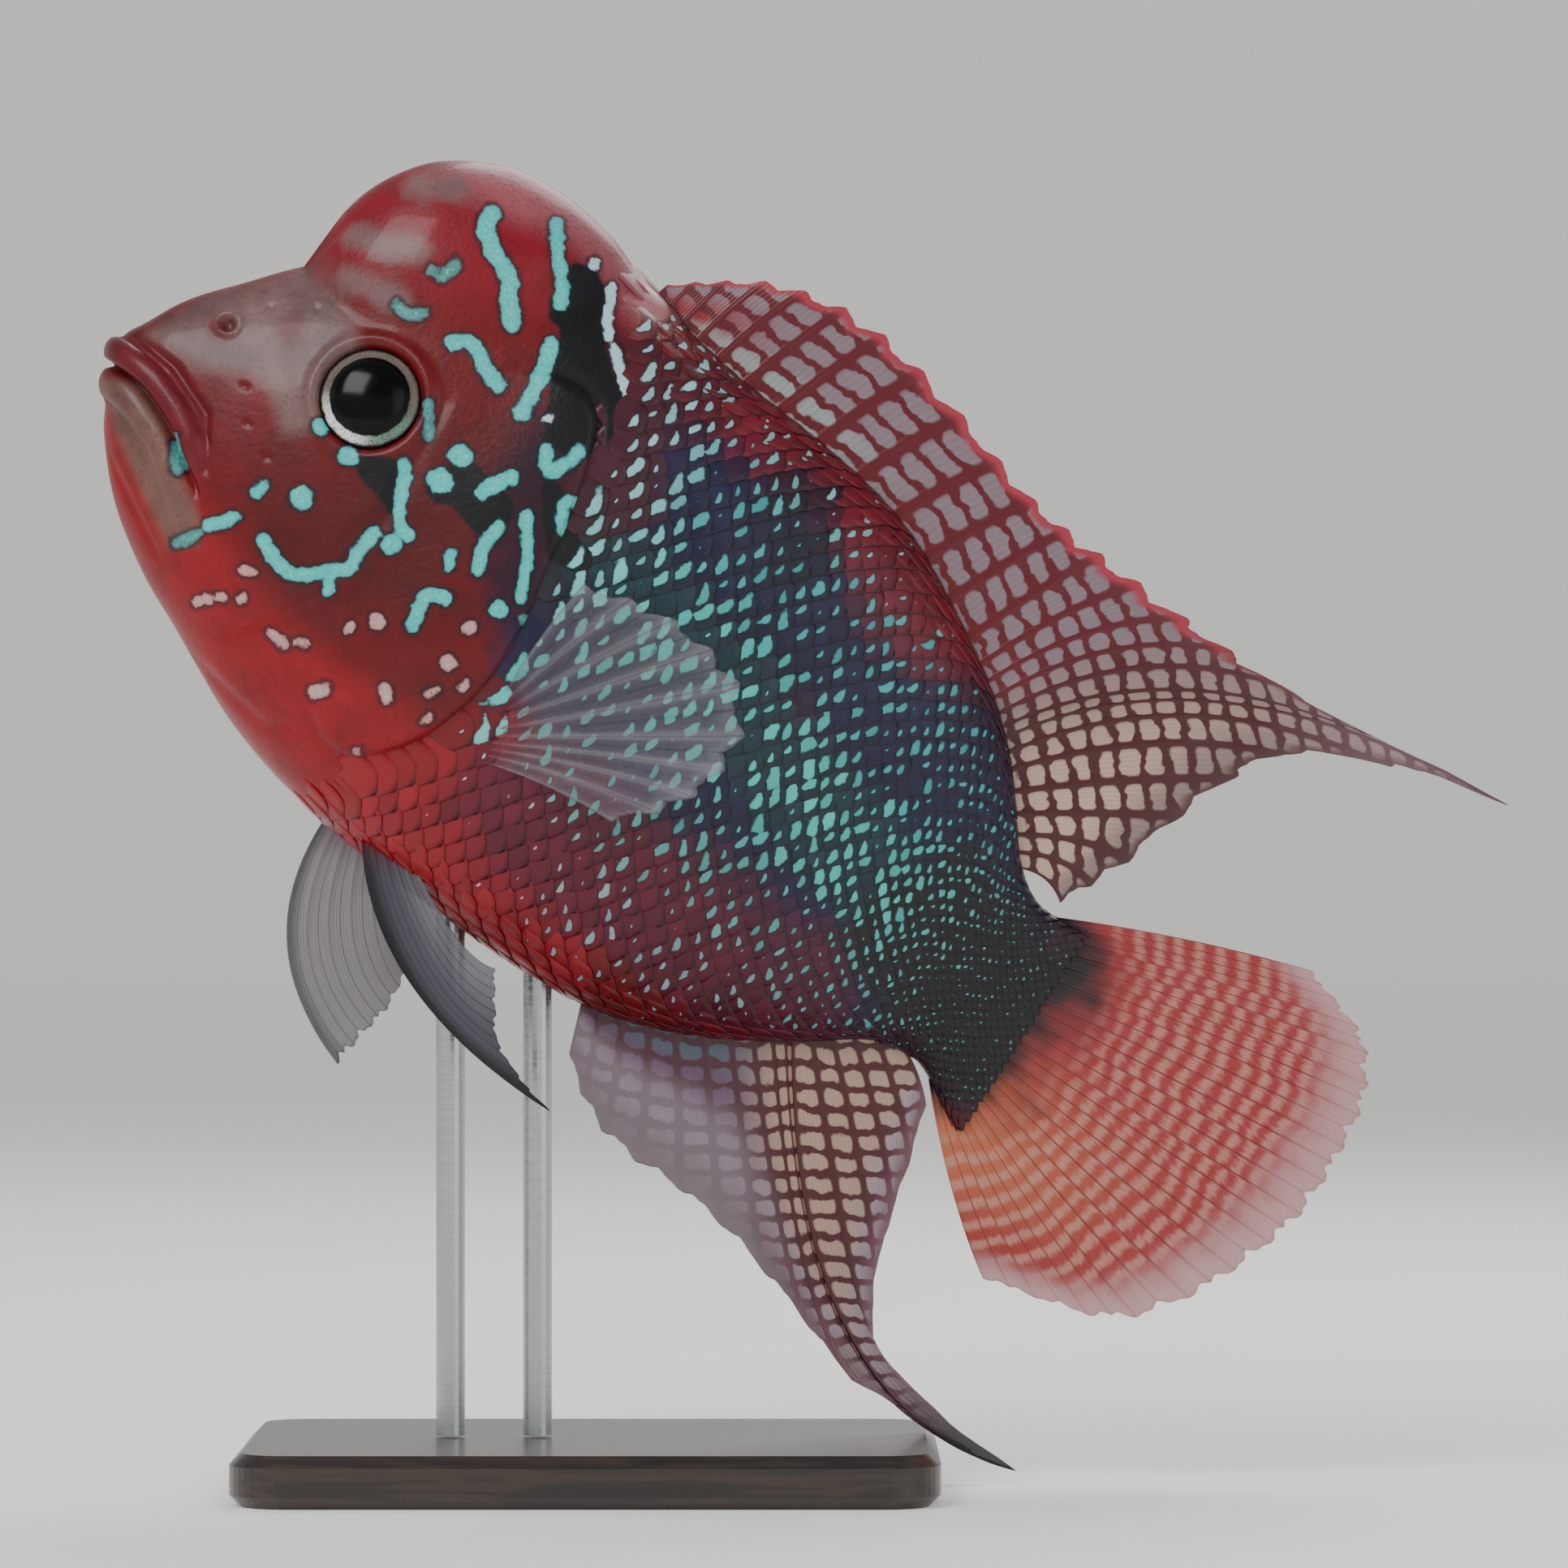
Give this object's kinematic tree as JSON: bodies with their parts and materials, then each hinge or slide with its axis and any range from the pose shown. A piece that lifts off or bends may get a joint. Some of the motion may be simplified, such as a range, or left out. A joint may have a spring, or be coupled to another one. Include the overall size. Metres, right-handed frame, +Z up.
{
  "type": "flowerhorn cichlid",
  "caption": "Life-size flowerhorn cichlid with a tall nuchal hump and trailing fins, swimming head up on rods above a flat base.",
  "frame": {"origin": "bottom centre of the bounding box: the base's underside is z = 0", "axes": "+Z up; the fish faces -X with its head up, its left flank towards -Y; the tail fins trail towards +X"},
  "size_m": [0.2444, 0.09, 0.2291],
  "materials": {
    "skin_head": "wet crimson skin with turquoise strokes and black patches",
    "skin_trunk": "wet crimson to navy scales with teal-white pearl flecks",
    "skin_tail": "wet blue-black scales with teal pearl flecks",
    "eye": "clear cornea over a black pupil and a silver-grey iris ring",
    "fin_tall": "thin ribbed membrane, pink-red and grey with cream cells",
    "fin_tail": "thin ribbed membrane, red-orange with a pale edge",
    "fin_paired": "thin grey see-through membrane",
    "base_board": "dark satin lacquer",
    "rod": "brushed"
  },
  "bodies": {
    "root": {"head": "skin_head", "nuchal_hump": "skin_head", "jaw_lower": "skin_head", "gill_cover_left": "skin_head", "gill_cover_right": "skin_head", "trunk_front": "skin_trunk", "trunk_rear": "skin_tail", "tail_root": "skin_tail", "eye_left": "eye", "eye_right": "eye", "fin_dorsal": "fin_tall", "fin_anal": "fin_tall", "fin_caudal": "fin_tail", "fin_pectoral_left": "fin_paired", "fin_pectoral_right": "fin_paired", "fin_pelvic_left": "fin_paired", "fin_pelvic_right": "fin_paired", "stand_base": "base_board", "stand_rod_front": "rod", "stand_rod_rear": "rod"}
  },
  "joints": []
}
